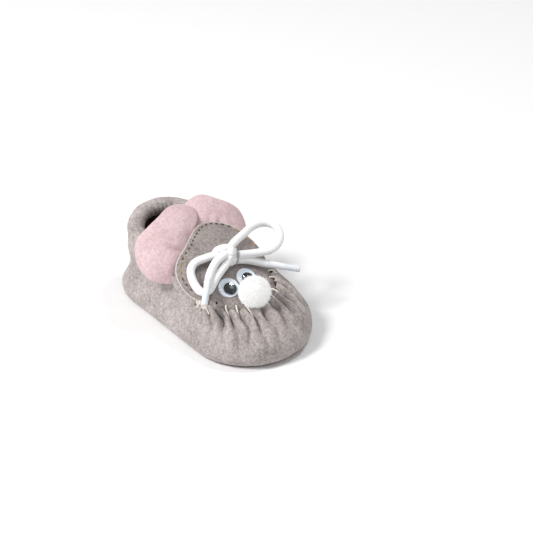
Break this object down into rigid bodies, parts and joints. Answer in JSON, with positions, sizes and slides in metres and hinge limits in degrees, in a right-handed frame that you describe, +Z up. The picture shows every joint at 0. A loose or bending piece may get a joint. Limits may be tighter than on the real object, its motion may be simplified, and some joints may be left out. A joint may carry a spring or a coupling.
{
  "type": "baby bootie",
  "caption": "Soft suede moccasin bootie for a baby, with a mouse face, round ears and a tied cord bow.",
  "frame": {"origin": "on the ground, under the middle of the bootie, on the sole's flat face", "axes": "+Z up, toe towards -Y, heel towards +Y, -X is the side that the picture shows"},
  "size_m": [0.0674, 0.1108, 0.0465],
  "materials": {
    "grey_suede": "napped suede",
    "pink_suede": "napped suede",
    "sole_suede": "rough suede",
    "insole": "brushed cotton over foam",
    "elastic": "knitted elastic",
    "thread": "waxed thread",
    "dark_thread": "sewing thread",
    "white_cord": "braided cotton",
    "aglet_plastic": "clear shrunk film",
    "eye_white": "moulded plastic",
    "eye_clear": "clear moulded plastic",
    "pupil_black": "moulded plastic",
    "pompom": "cut acrylic yarn"
  },
  "bodies": {
    "shoe": {"outsole": "sole_suede", "insole_pad": "insole", "upper": "grey_suede", "heel_seam_stitches": "thread", "collar_casing": "grey_suede", "collar_elastic": "elastic", "apron": "grey_suede", "apron_stitches": "thread", "stitch_knots": "thread", "eye_base_left": "eye_white", "eye_base_right": "eye_white", "eye_dome_left": "eye_clear", "eye_dome_right": "eye_clear", "nose_pompom": "pompom"},
    "tongue_flap": {"tongue": "grey_suede", "tongue_lining": "grey_suede", "tongue_topstitching": "dark_thread", "lace_bar": "white_cord"},
    "bow": {"lace_knot": "white_cord", "lace_loop_left": "white_cord", "lace_loop_right": "white_cord", "lace_tail_left": "white_cord", "lace_tail_right": "white_cord", "aglet_left": "aglet_plastic", "aglet_right": "aglet_plastic"},
    "ear_left": {"ear_left_front": "pink_suede", "ear_left_back": "pink_suede"},
    "ear_right": {"ear_right_front": "pink_suede", "ear_right_back": "pink_suede"},
    "loose_pupil_left": {"pupil_left": "pupil_black"},
    "loose_pupil_right": {"pupil_right": "pupil_black"}
  },
  "joints": [
    {"name": "tongue_lift", "type": "hinge", "parent": "shoe", "child": "tongue_flap", "pos_m": [0, -0.0126, 0.03], "axis": [1, 0, 0], "range_deg": [0, 25]},
    {"name": "bow_lag", "type": "hinge", "parent": "tongue_flap", "child": "bow", "pos_m": [0.0012, -0.0092, 0.0368], "axis": [1, 0, 0], "range_deg": [-7.5, 0]},
    {"name": "ear_left_fold", "type": "hinge", "parent": "tongue_flap", "child": "ear_left", "pos_m": [-0.02639, 0.00422, 0.02774], "axis": [0.7641, 0.4851, 0.4253], "range_deg": [0, 30]},
    {"name": "ear_right_fold", "type": "hinge", "parent": "tongue_flap", "child": "ear_right", "pos_m": [0.02662, 0.00412, 0.02826], "axis": [0.7641, -0.4851, -0.4253], "range_deg": [0, 21]},
    {"name": "pupil_left_slide", "type": "slide", "parent": "shoe", "child": "loose_pupil_left", "axis": [-0.0877, 0.8917, 0.4441], "range_m": [0, 0.0018]},
    {"name": "pupil_right_slide", "type": "slide", "parent": "shoe", "child": "loose_pupil_right", "axis": [0.0395, 0.8847, 0.4644], "range_m": [0, 0.0018]}
  ],
  "couplings": [
    {"joint": "bow_lag", "follows": "tongue_lift", "ratio": -0.3}
  ]
}
